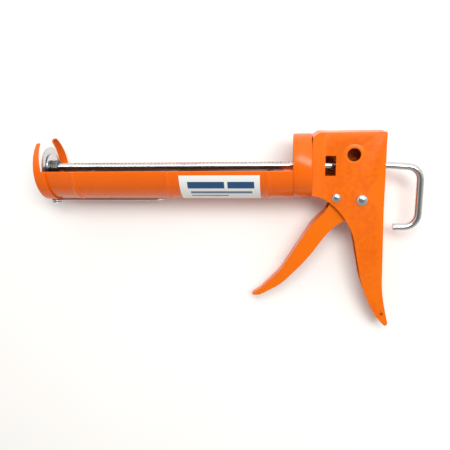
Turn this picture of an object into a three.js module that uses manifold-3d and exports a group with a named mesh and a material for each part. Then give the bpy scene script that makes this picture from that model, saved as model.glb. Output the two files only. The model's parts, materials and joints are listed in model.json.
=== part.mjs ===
// A ratchet-rod caulking gun with a half-round cradle, in millimetres.
//
// Every piece is drawn in the gun's own frame: X runs along the barrel axis with the muzzle towards -X,
// Y is up in the user's hand, Z points out of the gun's left side, and X = 0 is the collar's front edge.
// At the end the gun is laid down on its right side, on the front cap and the tip of the grip, and its box
// is centred over the origin. After that, +Z is up from the bench.
import * as THREE from "three";
import { mergeVertices } from "three/addons/utils/BufferGeometryUtils.js";
import Module from "manifold-3d";

// Clearances
const SEAM = 0.15; // between sheets that are spot-welded together
const RUNNING = 0.2; // radial, between a turning piece and its shaft
const SHIM = 0.3; // end play of a piece held between two others

// Barrel
const BORE_R = 25.5;
const CRADLE_SHEET = 1;
const CRADLE_LENGTH = 208.9;
const CRADLE_EDGE_Y = -0.4;
const BEAD_HEIGHT = 0.9;
const BEAD_HALF_WIDTH = 2.6;
const FRONT_BEAD_FROM_CAP = 30;
const MIDDLE_BEAD_FROM_COLLAR = 100.4;
const REAR_BEAD_FROM_COLLAR = 19.5;
const CRADLE_R = BORE_R + CRADLE_SHEET;

// Front cap
const CAP_SHEET = 1.1;
const CAP_SKIRT = 10.5;
const CAP_LIP = 6; // in from the bore, in front of the cartridge
const CAP_ARM_LIP = 1.5; // and between the arms, above the cradle's edge
const CAP_ARM_BASE = 7; // the skirt's length on the arms, at the cradle's edge
const CAP_ARM_TIP = 3.6; // and at the top, where it has been trimmed at a slant
const CAP_CORNER_R = 2.4;
const CAP_NOTCH_HALF_ANGLE = THREE.MathUtils.degToRad(35);
const CAP_NOTCH_TURN = THREE.MathUtils.degToRad(2); // towards the gun's left side
const CAP_R = CRADLE_R + SEAM + CAP_SHEET;
const CAP_OPENING_R = BORE_R - CAP_LIP;
const CAP_ARM_OPENING_R = BORE_R - CAP_ARM_LIP;
const CAP_INNER_X = -CRADLE_LENGTH - SEAM - (CAP_CORNER_R - CAP_SHEET);

// Rear cap
const COLLAR_LENGTH = 14.8;
const COLLAR_SHEET = 1.2;
const COLLAR_STEP = 0.4; // how far the collar stands out past the cradle's bore
const SPIGOT_LENGTH = 8;
const COLLAR_R = BORE_R + COLLAR_STEP;

// Handle frame, side view
const FRAME_WIDTH = 22;
const FRAME_SHEET = 1.2;
const FRAME_TOP_Y = 27.2;
const NECK_TOP_Y = 24;
const NECK_BOTTOM_Y = -22.4;
const NECK_LENGTH = 5;
const TOP_CORNER_R = 1.6;
const BACK_X = 71.9;
const GRIP_DROP = 134.8; // from the barrel axis to the grip's tip
const GRIP_TOE_R = 2.6;
const NECK_HALF_WIDTH = 15.5;
const FLARE_LENGTH = 10;
const FRAME_FRONT_X = COLLAR_LENGTH + SHIM;
// The grip's two edges: [millimetres behind BACK_X, share of GRIP_DROP].
const GRIP_BACK = [[0.2, 0.1], [0.2, 0.29], [1.2, 0.57], [2.1, 0.74], [3.7, 0.83], [5.9, 0.91]];
const GRIP_TOE = [8.2, 1];
const GRIP_FRONT = [[-21.9, 0.447], [-18.6, 0.58], [-13.6, 0.745], [-4.1, 0.91]];
const PLATE_OUTER_Z = FRAME_WIDTH / 2;
const PLATE_INNER_Z = PLATE_OUTER_Z - FRAME_SHEET;

// Openings in the handle frame
const WINDOW_FROM_COLLAR = 14.6;
const WINDOW_WIDTH = 8.3;
const WINDOW_HEIGHT = 15.9;
const WINDOW_Y = 1;
const WINDOW_X = COLLAR_LENGTH + WINDOW_FROM_COLLAR;
const CUTTER_HOLE = new THREE.Vector2(BACK_X - 24.6, 9.6);
const CUTTER_HOLE_R = 5.3;
const GRIP_HOLE_R = 1.3;
const GRIP_HOLE = new THREE.Vector2(BACK_X + 3, -0.922 * GRIP_DROP);

// Push rod
const ROD_R = 3;
const HOOK_X = BACK_X + 29.4;
const HOOK_DROP = 51.2;
const HOOK_END_X = BACK_X + 9.9;
const HOOK_DIP = 1.2; // how far the bar bends down before the hook's corner
const HOOK_BEND_R = 11;
const TOOTH_PITCH = 3.2;
const TOOTH_DEPTH = 1;
const CREST_CLEAR = 0.05; // between the comb and the rod at each crest
const TOOTH_SLOPE = 0.8; // share of the pitch
const FIRST_TOOTH_FROM_TIP = 22;

// Plunger
const PLUNGER_CLEARANCE = 2.5; // radial, in the front cap's opening
const PLUNGER_SHEET = 1.4;
const PLUNGER_INSET = 2.8; // behind the front cap's face at rest
const BACKING_R = 11;
const BACKING_SHEET = 0.8;
const ROD_HEAD_STEP = 1.1; // how far the countersunk head spreads past the rod
const ROD_HEAD_INSET = 0.1;
const LOCK_WASHER_R = 5.4;
const LOCK_WASHER_THICKNESS = 0.9;
const LOCK_WASHER_SLIT = 1;
const NUT_ACROSS_FLATS = 11;
const NUT_THICKNESS = 4.6;
const PLUNGER_R = CAP_OPENING_R - PLUNGER_CLEARANCE;

// Rod guide bush
const BUSH_WALL = 1.9;
const BUSH_LENGTH = 18.9;
const BUSH_FLANGE_R = 8;
const BUSH_FLANGE = 1.2;
const BUSH_END_X = COLLAR_LENGTH - COLLAR_SHEET + BUSH_LENGTH;

// Rivets and their sleeves
const PIVOT = new THREE.Vector2(BACK_X - 17, -26.6);
const PIVOT_SHANK_R = 2.8;
const PIVOT_HEAD_R = 4.7;
const PIVOT_SLEEVE_WALL = 1.2;
const STOP = new THREE.Vector2(PIVOT.x - 20.2, -24.8);
const STOP_SHANK_R = 2.2;
const STOP_HEAD_R = 3.7;
const STOP_SLEEVE_WALL = 1;
const RIVET_DOME = 0.5; // height of a head as a share of its radius
const RIVET_TAIL = 0.35;
const PIVOT_SLEEVE_R = PIVOT_SHANK_R + RUNNING + PIVOT_SLEEVE_WALL;
const STOP_SLEEVE_R = STOP_SHANK_R + RUNNING + STOP_SLEEVE_WALL;

// Trigger
const TRIGGER_SHEET = 1.2;
const TRIGGER_WIDTH = 14;
const TRIGGER_TOE_WIDTH = 6;
const TRIGGER_TAPER = 0.35; // share of the length over which it narrows to the toe
const TRIGGER_HUB_R = 8.5;
const TRIGGER_PULL = THREE.MathUtils.degToRad(28);
// Where the cheek's round edges begin and end, in radians from straight behind.
const HUB_FROM = -2;
const CHEEK_TO = 2;
const NOTCH_FROM = -0.4;
const NOTCH_TO = -2.4;
const CHEEK_OUTER_Z = TRIGGER_WIDTH / 2;
const CHEEK_INNER_Z = CHEEK_OUTER_Z - TRIGGER_SHEET;
const TRIGGER_LENGTH = 120; // from the pivot to the tip
// The lever's two edges, measured from the pivot in shares of TRIGGER_LENGTH.
const TRIGGER_FRONT = [
  [-0.242, -0.092],
  [-0.324, -0.176],
  [-0.393, -0.283],
  [-0.465, -0.398],
  [-0.538, -0.516],
  [-0.61, -0.593],
  [-0.685, -0.666],
  [-0.741, -0.706],
];
const TRIGGER_TOE = [[-0.757, -0.724], [-0.691, -0.716]];
const TRIGGER_REAR = [
  [-0.608, -0.668],
  [-0.535, -0.618],
  [-0.464, -0.548],
  [-0.393, -0.469],
  [-0.324, -0.385],
  [-0.256, -0.288],
  [-0.189, -0.207],
  [-0.099, -0.142],
];
const BLADE_REACH = 44; // from the pivot to the cutting arm's top
const BLADE_WIDTH = 9;
const BLADE_CLEARANCE = 1; // behind the cutter hole at rest

// Drive pawl
const PAWL_PIN_FROM_PIVOT = new THREE.Vector2(4, 18.5);
const PAWL_PIN_R = 1.8;
const PAWL_BOSS_R = 4;
const CHEEK_ROUND_PIN = 5; // the cheek's radius round the pawl pin
const PAWL_LEAF_GAP = 3; // between the nose and the holding spring when the trigger is pulled
const PAWL_WIDTH = 4.4;
const PAWL_ROD_GAP = 0.9;
const PAWL_NECK_INSET = 0.6; // from the boss's tangents
const PAWL_TIP_LENGTH = 4;
const PAWL_TIP_FALL = 1.2;
const PAWL_TIP_DEPTH = 2.4;
const PAWL_PIN_AT = PIVOT.clone().add(PAWL_PIN_FROM_PIVOT);

// Springs
const SPRING_GAP = 0.4;
const RETURN_WIRE_R = 0.8;
const RETURN_TURNS = 4;
const RETURN_LEG = 9;
const SHORT_LEG = 2;
const PAWL_WIRE_R = 0.4;
const PAWL_TURNS = 1.5;
const PAWL_SPRING_LEG = 6;
const LEAF_SHEET = 0.8;
const LEAF_WIDTH = 8;
const LEAF_ROD_GAP = 0.6;
const LEAF_FROM_BUSH = 2.4;
const LEAF_UPRIGHT = 10; // from the stop rivet's axis to the blade's bend
const LEAF_TIP_X = BUSH_END_X + LEAF_FROM_BUSH;

// Seal punch: a pointed wire with an eye at its front end, which swings out on a rivet under the front cap
const PUNCH_WIRE_R = 1;
const PUNCH_EYE_R = 3.6; // to the wire's centre line
const PUNCH_REACH = 95;
const PUNCH_POINT = 5;
const PUNCH_POINT_R = 0.3;
const PUNCH_EYE_TURN = 280; // degrees of the eye's wire
const PUNCH_POINT_STEP = 0.02; // the ground point starts this much inside the wire
const PUNCH_FROM_CAP_FACE = 6;
const PUNCH_TURN = THREE.MathUtils.degToRad(2); // from the barrel's lowest line towards the left side
const PUNCH_RIVET_R = 2.2;
const PUNCH_HEAD_R = 4.2;
const PUNCH_HEAD_HEIGHT = 0.9;
const PUNCH_HEAD_FLAT = 0.6; // share of its radius
const PUNCH_HEAD_RIM = 0.3; // share of its height
const PUNCH_X = CAP_INNER_X - CAP_SHEET + PUNCH_FROM_CAP_FACE;
const PUNCH_AXIS_R = CAP_R + SHIM + PUNCH_WIRE_R; // from the barrel axis to the wire

// Label
const LABEL_LENGTH = 64.5;
const LABEL_FROM_COLLAR = 25.7;
const LABEL_PAPER = 0.2;
const LABEL_TOP = THREE.MathUtils.degToRad(8); // below the left edge of the cradle
const LABEL_WRAP = THREE.MathUtils.degToRad(78);

// Facets
const BARREL_SIDES = 48;
const ROUND_SIDES = 24;
const ROD_SIDES = 16;
const WIRE_SIDES = 6;
const COIL_STEPS = 12; // in one turn
const CURVE_STEPS = 12;
const QUARTER_ARC = 0.5523; // handle length of a cubic curve that turns a quarter circle of radius 1
const MERGE_MM = 1e-4;
const PAST = 2; // how far a cutting tool runs past what it cuts
const FAR = 400;

const wasm = await Module();
wasm.setup();

function toSolid(geometry) {
  const bare = geometry.clone();
  bare.deleteAttribute("normal");
  bare.deleteAttribute("uv");
  const merged = mergeVertices(bare, MERGE_MM);
  const vertProperties = merged.getAttribute("position").array;
  const triVerts = new Uint32Array(merged.index.array);
  return new wasm.Manifold(new wasm.Mesh({ numProp: 3, vertProperties, triVerts }));
}

function toGeometry(solid) {
  const { vertProperties, triVerts } = solid.getMesh();
  const geometry = new THREE.BufferGeometry();
  geometry.setAttribute("position", new THREE.BufferAttribute(vertProperties, 3));
  geometry.setIndex(new THREE.BufferAttribute(triVerts, 1));
  geometry.computeVertexNormals();
  return geometry;
}

function combine(operation, first, others) {
  return toGeometry(others.reduce((left, right) => left[operation](toSolid(right)), toSolid(first)));
}

const cut = (body, ...tools) => combine("subtract", body, tools);
const join = (body, ...others) => combine("add", body, others);
const common = (body, ...others) => combine("intersect", body, others);

function box(x, y, z) {
  const size = [x, y, z].map(([low, high]) => high - low);
  const middle = [x, y, z].map(([low, high]) => (low + high) / 2);
  return new THREE.BoxGeometry(...size).translate(...middle);
}

// Turns a closed profile of [x, radius] points round the barrel axis.
function turned(profile, sides = ROUND_SIDES) {
  const points = profile.map(([x, radius]) => new THREE.Vector2(radius, x));
  return new THREE.LatheGeometry(points, sides).rotateZ(-Math.PI / 2);
}

function ring([x0, x1], innerR, outerR, sides = ROUND_SIDES) {
  return turned([[x0, innerR], [x0, outerR], [x1, outerR], [x1, innerR], [x0, innerR]], sides);
}

function barX(radius, [x0, x1], sides = ROUND_SIDES) {
  const bar = new THREE.CylinderGeometry(radius, radius, x1 - x0, sides);
  return bar.rotateZ(Math.PI / 2).translate((x0 + x1) / 2, 0, 0);
}

function barY(radius, [y0, y1], x, sides = ROUND_SIDES) {
  return new THREE.CylinderGeometry(radius, radius, y1 - y0, sides).translate(x, (y0 + y1) / 2, 0);
}

function barZ(radius, [z0, z1], at, sides = ROUND_SIDES) {
  const bar = new THREE.CylinderGeometry(radius, radius, z1 - z0, sides);
  return bar.rotateX(Math.PI / 2).translate(at.x, at.y, (z0 + z1) / 2);
}

// Extrudes a side-view outline across the gun.
function plate(shape, [z0, z1]) {
  const options = { depth: z1 - z0, bevelEnabled: false, curveSegments: CURVE_STEPS };
  return new THREE.ExtrudeGeometry(shape, options).translate(0, 0, z0);
}

// Extrudes an outline drawn in X and Z upwards, between two heights.
function planPrism(points, [y0, y1]) {
  const shape = new THREE.Shape(points.map(([x, z]) => new THREE.Vector2(x, -z)));
  const prism = new THREE.ExtrudeGeometry(shape, { depth: y1 - y0, bevelEnabled: false });
  return prism.rotateX(-Math.PI / 2).translate(0, y0, 0);
}

// Sweeps round wire along a path.
function wire(path, radius, steps, sides = WIRE_SIDES) {
  const section = new THREE.Shape().absarc(0, 0, radius, 0, 2 * Math.PI);
  const options = { extrudePath: path, steps, bevelEnabled: false, curveSegments: sides / 2 };
  return new THREE.ExtrudeGeometry(section, options);
}

// The half-round trough: a turned tube with outward beads, cut away above its long edges.
function cradle() {
  const beads = [
    FRONT_BEAD_FROM_CAP - CRADLE_LENGTH,
    -MIDDLE_BEAD_FROM_COLLAR,
    -REAR_BEAD_FROM_COLLAR,
  ];
  const bulge = beads.flatMap((centre) =>
    [-1, -0.5, 0, 0.5, 1].map((t) => [
      centre + t * BEAD_HALF_WIDTH,
      BORE_R + BEAD_HEIGHT * Math.cos((t * Math.PI) / 2) ** 2,
    ]),
  );
  const inside = [[-CRADLE_LENGTH, BORE_R], ...bulge, [-SEAM, BORE_R]];
  const outside = inside.map(([x, r]) => [x, r + CRADLE_SHEET]);
  const tube = turned([inside[0], ...outside, ...inside.reverse()], BARREL_SIDES);
  return cut(tube, box([-FAR, FAR], [CRADLE_EDGE_Y, FAR], [-FAR, FAR]));
}

// The stamped end ring: a flat face with a round opening, a rolled corner and a skirt round the cradle.
function frontCap() {
  const frontX = CAP_INNER_X - CAP_SHEET;
  const skirtX = frontX + CAP_SKIRT;
  const corner = (radius, steps) =>
    Array.from({ length: steps + 1 }, (_, i) => {
      const angle = (i / steps) * (Math.PI / 2);
      const x = frontX + CAP_CORNER_R - radius * Math.cos(angle);
      return [x, CAP_R - CAP_CORNER_R + radius * Math.sin(angle)];
    });
  const outer = [[frontX, CAP_OPENING_R], ...corner(CAP_CORNER_R, 4), [skirtX, CAP_R]];
  const innerCorner = corner(CAP_CORNER_R - CAP_SHEET, 3).reverse();
  const inner = [[skirtX, CAP_R - CAP_SHEET], ...innerCorner, [CAP_INNER_X, CAP_OPENING_R]];
  const whole = turned([...outer, ...inner, outer[0]], BARREL_SIDES);
  const rise = 2 * CAP_R;
  const spread = rise * Math.tan(CAP_NOTCH_HALF_ANGLE);
  const notch = new THREE.Shape([
    new THREE.Vector2(0, 0),
    new THREE.Vector2(spread, rise),
    new THREE.Vector2(-spread, rise),
  ]);
  const notchTool = new THREE.ExtrudeGeometry(notch, { depth: CAP_SKIRT + 2 * PAST, bevelEnabled: false });
  notchTool.rotateY(Math.PI / 2).rotateX(CAP_NOTCH_TURN).translate(frontX - PAST, 0, 0);
  const slant = (CAP_ARM_BASE - CAP_ARM_TIP) / (CAP_R - CRADLE_EDGE_Y);
  const trimmed = new THREE.Shape([
    new THREE.Vector2(frontX + CAP_ARM_BASE, CRADLE_EDGE_Y),
    new THREE.Vector2(FAR, CRADLE_EDGE_Y),
    new THREE.Vector2(FAR, CAP_R + PAST),
    new THREE.Vector2(frontX + CAP_ARM_TIP - slant * PAST, CAP_R + PAST),
  ]);
  const armTrim = plate(trimmed, [-FAR, FAR]);
  const armOpening = common(
    barX(CAP_ARM_OPENING_R, [frontX - PAST, frontX + CAP_CORNER_R], BARREL_SIDES),
    box([-FAR, 0], [CRADLE_EDGE_Y, FAR], [-FAR, FAR]),
  );
  const punchHole = barY(PUNCH_RIVET_R + SEAM, [-FAR, 0], PUNCH_X).rotateX(-PUNCH_TURN);
  return cut(whole, notchTool, armTrim, armOpening, punchHole);
}

// The collar behind the cradle, with a back wall and a spigot that slips into the cradle's end.
function rearCap() {
  const wallX = COLLAR_LENGTH - COLLAR_SHEET;
  const collarInnerR = COLLAR_R - COLLAR_SHEET;
  const spigotR = BORE_R - SEAM;
  const spigotInnerR = spigotR - COLLAR_SHEET;
  const holeR = ROD_R + RUNNING + BUSH_WALL + SEAM;
  const body = turned(
    [
      [-SPIGOT_LENGTH, spigotInnerR],
      [-SPIGOT_LENGTH, spigotR],
      [0, spigotR],
      [0, COLLAR_R],
      [COLLAR_LENGTH, COLLAR_R],
      [COLLAR_LENGTH, holeR],
      [wallX, holeR],
      [wallX, collarInnerR],
      [COLLAR_SHEET, collarInnerR],
      [COLLAR_SHEET, spigotInnerR],
      [-SPIGOT_LENGTH, spigotInnerR],
    ],
    BARREL_SIDES,
  );
  return cut(body, box([-FAR, 0], [CRADLE_EDGE_Y, FAR], [-FAR, FAR]));
}

// The flanged sleeve in the rear cap's back wall, which the rod slides and turns in.
function rodGuideBush() {
  const boreR = ROD_R + RUNNING;
  const outerR = boreR + BUSH_WALL;
  const frontX = COLLAR_LENGTH - COLLAR_SHEET;
  const flangeX = COLLAR_LENGTH + SEAM;
  return turned([
    [frontX, boreR],
    [frontX, outerR],
    [flangeX, outerR],
    [flangeX, BUSH_FLANGE_R],
    [flangeX + BUSH_FLANGE, BUSH_FLANGE_R],
    [flangeX + BUSH_FLANGE, outerR],
    [BUSH_END_X, outerR],
    [BUSH_END_X, boreR],
    [frontX, boreR],
  ]);
}

// A point of the grip's outline, from its place behind BACK_X and its share of the drop.
const gripPoint = ([back, share]) => new THREE.Vector2(BACK_X + back, -share * GRIP_DROP);

// The back edge of the housing and grip, from the barrel axis down to the toe, moved forward by an inset.
function backEdge(inset) {
  const toe = gripPoint(GRIP_TOE).add(new THREE.Vector2(0, GRIP_TOE_R));
  const edge = [new THREE.Vector2(BACK_X, 0), ...GRIP_BACK.map(gripPoint), toe];
  return edge.map((point) => new THREE.Vector2(point.x - inset, point.y));
}

function frameOutline() {
  const shape = new THREE.Shape();
  const neck = new THREE.Vector2(FRAME_FRONT_X, NECK_BOTTOM_Y);
  const front = GRIP_FRONT.map(gripPoint);
  const between = (x, y) => [
    THREE.MathUtils.lerp(neck.x, front[0].x, x),
    THREE.MathUtils.lerp(neck.y, front[0].y, y),
  ];
  const toe = gripPoint(GRIP_TOE);
  shape.moveTo(neck.x, neck.y);
  shape.bezierCurveTo(...between(0.43, 0.055), ...between(0.87, 0.52), front[0].x, front[0].y);
  shape.splineThru([...front.slice(1), new THREE.Vector2(toe.x - GRIP_TOE_R, toe.y)]);
  shape.quadraticCurveTo(toe.x, toe.y, toe.x, toe.y + GRIP_TOE_R);
  shape.splineThru(backEdge(0).reverse().slice(1));
  shape.lineTo(BACK_X, FRAME_TOP_Y - TOP_CORNER_R);
  shape.quadraticCurveTo(BACK_X, FRAME_TOP_Y, BACK_X - TOP_CORNER_R, FRAME_TOP_Y);
  shape.lineTo(FRAME_FRONT_X + NECK_LENGTH, FRAME_TOP_Y);
  shape.lineTo(FRAME_FRONT_X, NECK_TOP_Y);
  return shape;
}

// What is left empty inside the folded sheet: open at the front of the grip and towards the collar.
function frameHollow() {
  const back = backEdge(FRAME_SHEET);
  const top = FRAME_TOP_Y - FRAME_SHEET;
  const shape = new THREE.Shape();
  shape.moveTo(-FAR, -GRIP_DROP - PAST);
  shape.lineTo(back.at(-1).x, -GRIP_DROP - PAST);
  shape.lineTo(back.at(-1).x, back.at(-1).y);
  shape.splineThru(back.reverse().slice(1));
  shape.lineTo(BACK_X - FRAME_SHEET, top);
  shape.lineTo(FRAME_FRONT_X + NECK_LENGTH, top);
  shape.lineTo(FRAME_FRONT_X - PAST, NECK_TOP_Y - FRAME_SHEET - PAST / 2);
  shape.lineTo(-FAR, NECK_TOP_Y - FRAME_SHEET - PAST / 2);
  return shape;
}

// A plan view of parallel sides that open or close towards their front end.
function taperedPlan(halfWidth, frontHalfWidth, [x0, taperX, x1]) {
  const side = [[x0, frontHalfWidth], [taperX, halfWidth], [x1, halfWidth]];
  const other = side.map(([x, z]) => [x, -z]).reverse();
  return planPrism([...side, ...other], [-FAR, FAR]);
}

// The folded sheet that makes the housing and the grip, with its window, cutter hole and rivet holes.
function handleFrame() {
  const flare = NECK_HALF_WIDTH;
  const wide = [-FAR, FAR];
  const planX = [FRAME_FRONT_X, FRAME_FRONT_X + FLARE_LENGTH, FAR];
  const outerPlan = taperedPlan(PLATE_OUTER_Z, flare, planX);
  const innerPlan = taperedPlan(PLATE_INNER_Z, flare - FRAME_SHEET, planX);
  const lead = box([-FAR, FRAME_FRONT_X + SHIM], wide, [FRAME_SHEET - flare, flare - FRAME_SHEET]);
  const shell = cut(
    common(plate(frameOutline(), wide), outerPlan),
    common(plate(frameHollow(), wide), join(innerPlan, lead)),
  );
  const windowX = [WINDOW_X - WINDOW_WIDTH / 2, WINDOW_X + WINDOW_WIDTH / 2];
  const windowY = [WINDOW_Y - WINDOW_HEIGHT / 2, WINDOW_Y + WINDOW_HEIGHT / 2];
  const leftPlate = [0, PLATE_OUTER_Z + PAST];
  const through = [-PLATE_OUTER_Z - PAST, PLATE_OUTER_Z + PAST];
  return cut(
    shell,
    box(windowX, windowY, leftPlate),
    barZ(CUTTER_HOLE_R, leftPlate, CUTTER_HOLE),
    barZ(GRIP_HOLE_R, leftPlate, GRIP_HOLE),
    barZ(PIVOT_SHANK_R + SEAM, through, PIVOT),
    barZ(STOP_SHANK_R + SEAM, through, STOP),
    barX(ROD_R + RUNNING, [BACK_X - FRAME_SHEET - PAST, BACK_X + PAST]),
  );
}

// A domed rivet across both side plates: a round head on the left, a flatter set head on the right.
function rivet(at, shankR, headR) {
  const z = PLATE_OUTER_Z + SEAM;
  const dome = (height, steps) =>
    Array.from({ length: steps }, (_, i) => {
      const angle = (i / steps) * (Math.PI / 2);
      return [headR * Math.cos(angle), height * Math.sin(angle)];
    });
  const left = dome(headR * RIVET_DOME, 6).map(([r, h]) => new THREE.Vector2(r, z + h));
  const right = dome(headR * RIVET_TAIL, 6).map(([r, h]) => new THREE.Vector2(r, -z - h));
  const profile = [
    new THREE.Vector2(0, -z - headR * RIVET_TAIL),
    ...right.reverse(),
    new THREE.Vector2(shankR, -z),
    new THREE.Vector2(shankR, z),
    ...left,
    new THREE.Vector2(0, z + headR * RIVET_DOME),
  ];
  return new THREE.LatheGeometry(profile, ROUND_SIDES).rotateX(Math.PI / 2).translate(at.x, at.y, 0);
}

// A plain tube over a rivet's shank, as long as the space between the side plates.
function sleeve(at, shankR, outerR) {
  const end = PLATE_INNER_Z - SHIM / 2;
  return cut(
    barZ(outerR, [-end, end], at),
    barZ(shankR + RUNNING, [-end - PAST, end + PAST], at),
  );
}

// A point of the lever's outline, from its place in shares of the length, moved back by an inset.
function leverPoint([x, y], inset = 0) {
  return new THREE.Vector2(PIVOT.x + x * TRIGGER_LENGTH + inset, PIVOT.y + y * TRIGGER_LENGTH);
}

function triggerOutline() {
  const front = TRIGGER_FRONT.map((point) => leverPoint(point));
  const toe = TRIGGER_TOE.map((point) => leverPoint(point));
  const notchR = STOP_SLEEVE_R + SPRING_GAP;
  const shape = new THREE.Shape();
  shape.moveTo(front[0].x, front[0].y);
  shape.splineThru(front.slice(1));
  shape.quadraticCurveTo(toe[0].x, toe[0].y, toe[1].x, toe[1].y);
  shape.splineThru(TRIGGER_REAR.map((point) => leverPoint(point)));
  shape.absarc(PIVOT.x, PIVOT.y, TRIGGER_HUB_R, HUB_FROM, 0);
  shape.absarc(PAWL_PIN_AT.x, PAWL_PIN_AT.y, CHEEK_ROUND_PIN, 0, CHEEK_TO);
  shape.absarc(STOP.x, STOP.y, notchR, NOTCH_FROM, NOTCH_TO, true);
  return shape;
}

// The cutting arm, raised from the left cheek beside the rod. It sweeps behind the cutter hole.
function cuttingArm() {
  const lean = CUTTER_HOLE.x + CUTTER_HOLE_R + BLADE_CLEARANCE - PIVOT.x;
  const shape = new THREE.Shape([
    new THREE.Vector2(PIVOT.x - BLADE_WIDTH / 2, PIVOT.y),
    new THREE.Vector2(PIVOT.x + BLADE_WIDTH, PIVOT.y),
    new THREE.Vector2(PIVOT.x + lean + BLADE_WIDTH, PIVOT.y + BLADE_REACH),
    new THREE.Vector2(PIVOT.x + lean, PIVOT.y + BLADE_REACH),
  ]);
  return plate(shape, [CHEEK_INNER_Z, CHEEK_OUTER_Z]);
}

// The folded lever: two cheeks joined by a spine along the front edge.
function trigger() {
  const spine = TRIGGER_SHEET * Math.SQRT2;
  const inside = TRIGGER_FRONT.map((point) => leverPoint(point, spine));
  const hollow = new THREE.Shape();
  hollow.moveTo(FAR, FAR);
  hollow.lineTo(inside[0].x, FAR);
  hollow.lineTo(inside[0].x, inside[0].y);
  hollow.splineThru(inside.slice(1));
  hollow.lineTo(FAR, inside.at(-1).y);
  const across = [-CHEEK_OUTER_Z - PAST, CHEEK_OUTER_Z + PAST];
  const toeX = leverPoint(TRIGGER_TOE[0]).x;
  const planX = [toeX, toeX + TRIGGER_TAPER * TRIGGER_LENGTH, FAR];
  const outerPlan = taperedPlan(CHEEK_OUTER_Z, TRIGGER_TOE_WIDTH / 2, planX);
  const innerPlan = taperedPlan(CHEEK_INNER_Z, TRIGGER_TOE_WIDTH / 2 - TRIGGER_SHEET, planX);
  return cut(
    join(common(plate(triggerOutline(), across), outerPlan), cuttingArm()),
    common(plate(hollow, across), innerPlan),
    barZ(PIVOT_SLEEVE_R + RUNNING, across, PIVOT),
    barZ(PAWL_PIN_R + SEAM, across, PAWL_PIN_AT),
  );
}

// The pawl: a boss on its pin and a nose that reaches forward under the rod.
function drivePawl() {
  const noseY = -ROD_R - PAWL_ROD_GAP;
  const pulledPin = PAWL_PIN_FROM_PIVOT.clone().rotateAround(new THREE.Vector2(), TRIGGER_PULL).add(PIVOT);
  const reach = pulledPin.x - LEAF_TIP_X - LEAF_SHEET - PAWL_LEAF_GAP;
  const tipX = PAWL_PIN_AT.x - reach;
  const arm = new THREE.Shape([
    new THREE.Vector2(PAWL_PIN_AT.x, PAWL_PIN_AT.y - PAWL_BOSS_R + PAWL_NECK_INSET),
    new THREE.Vector2(PAWL_PIN_AT.x, PAWL_PIN_AT.y + PAWL_BOSS_R - PAWL_NECK_INSET),
    new THREE.Vector2(tipX + PAWL_TIP_LENGTH, noseY - PAWL_TIP_FALL),
    new THREE.Vector2(tipX, noseY),
    new THREE.Vector2(tipX, noseY - PAWL_TIP_DEPTH),
  ]);
  const span = [-PAWL_WIDTH / 2, PAWL_WIDTH / 2];
  return cut(
    join(barZ(PAWL_BOSS_R, span, PAWL_PIN_AT), plate(arm, span)),
    barZ(PAWL_PIN_R + RUNNING, [span[0] - PAST, span[1] + PAST], PAWL_PIN_AT),
  );
}

function pawlPin() {
  return barZ(PAWL_PIN_R, [-CHEEK_OUTER_Z, CHEEK_OUTER_Z], PAWL_PIN_AT, ROD_SIDES);
}

// A helix round an axis across the gun, with a straight leg leaving each end along the helix's tangent.
function torsionSpring({ at, coilR, wireR, turns, pitch, z0, start, legs }) {
  const point = (turn) => {
    const angle = start + 2 * Math.PI * turn;
    const z = z0 + pitch * turn;
    return new THREE.Vector3(at.x + coilR * Math.cos(angle), at.y + coilR * Math.sin(angle), z);
  };
  const points = Array.from({ length: Math.round(turns * COIL_STEPS) + 1 }, (_, i) => point(i / COIL_STEPS));
  const first = points[0].clone().sub(points[1]).setLength(legs[0]).add(points[0]);
  const last = points.at(-1).clone().sub(points.at(-2)).setLength(legs[1]).add(points.at(-1));
  const path = new THREE.CurvePath();
  path.add(new THREE.LineCurve3(first, points[0]));
  path.add(new THREE.CatmullRomCurve3(points));
  path.add(new THREE.LineCurve3(points.at(-1), last));
  return wire(path, wireR, Math.round((turns + 1) * COIL_STEPS) + 6);
}

function returnSpring() {
  return torsionSpring({
    at: PIVOT,
    coilR: PIVOT_SLEEVE_R + SPRING_GAP + RETURN_WIRE_R,
    wireR: RETURN_WIRE_R,
    turns: RETURN_TURNS,
    pitch: 2 * RETURN_WIRE_R + SPRING_GAP,
    z0: -RETURN_TURNS * (RETURN_WIRE_R + SPRING_GAP / 2),
    start: -Math.PI / 4,
    legs: [SHORT_LEG, RETURN_LEG],
  });
}

function pawlSpring() {
  return torsionSpring({
    at: PAWL_PIN_AT,
    coilR: PAWL_PIN_R + SPRING_GAP + PAWL_WIRE_R,
    wireR: PAWL_WIRE_R,
    turns: PAWL_TURNS,
    pitch: 2 * PAWL_WIRE_R + SPRING_GAP,
    z0: PAWL_WIDTH / 2 + SPRING_GAP + PAWL_WIRE_R,
    start: -Math.PI / 2,
    legs: [SHORT_LEG, PAWL_SPRING_LEG],
  });
}

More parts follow.
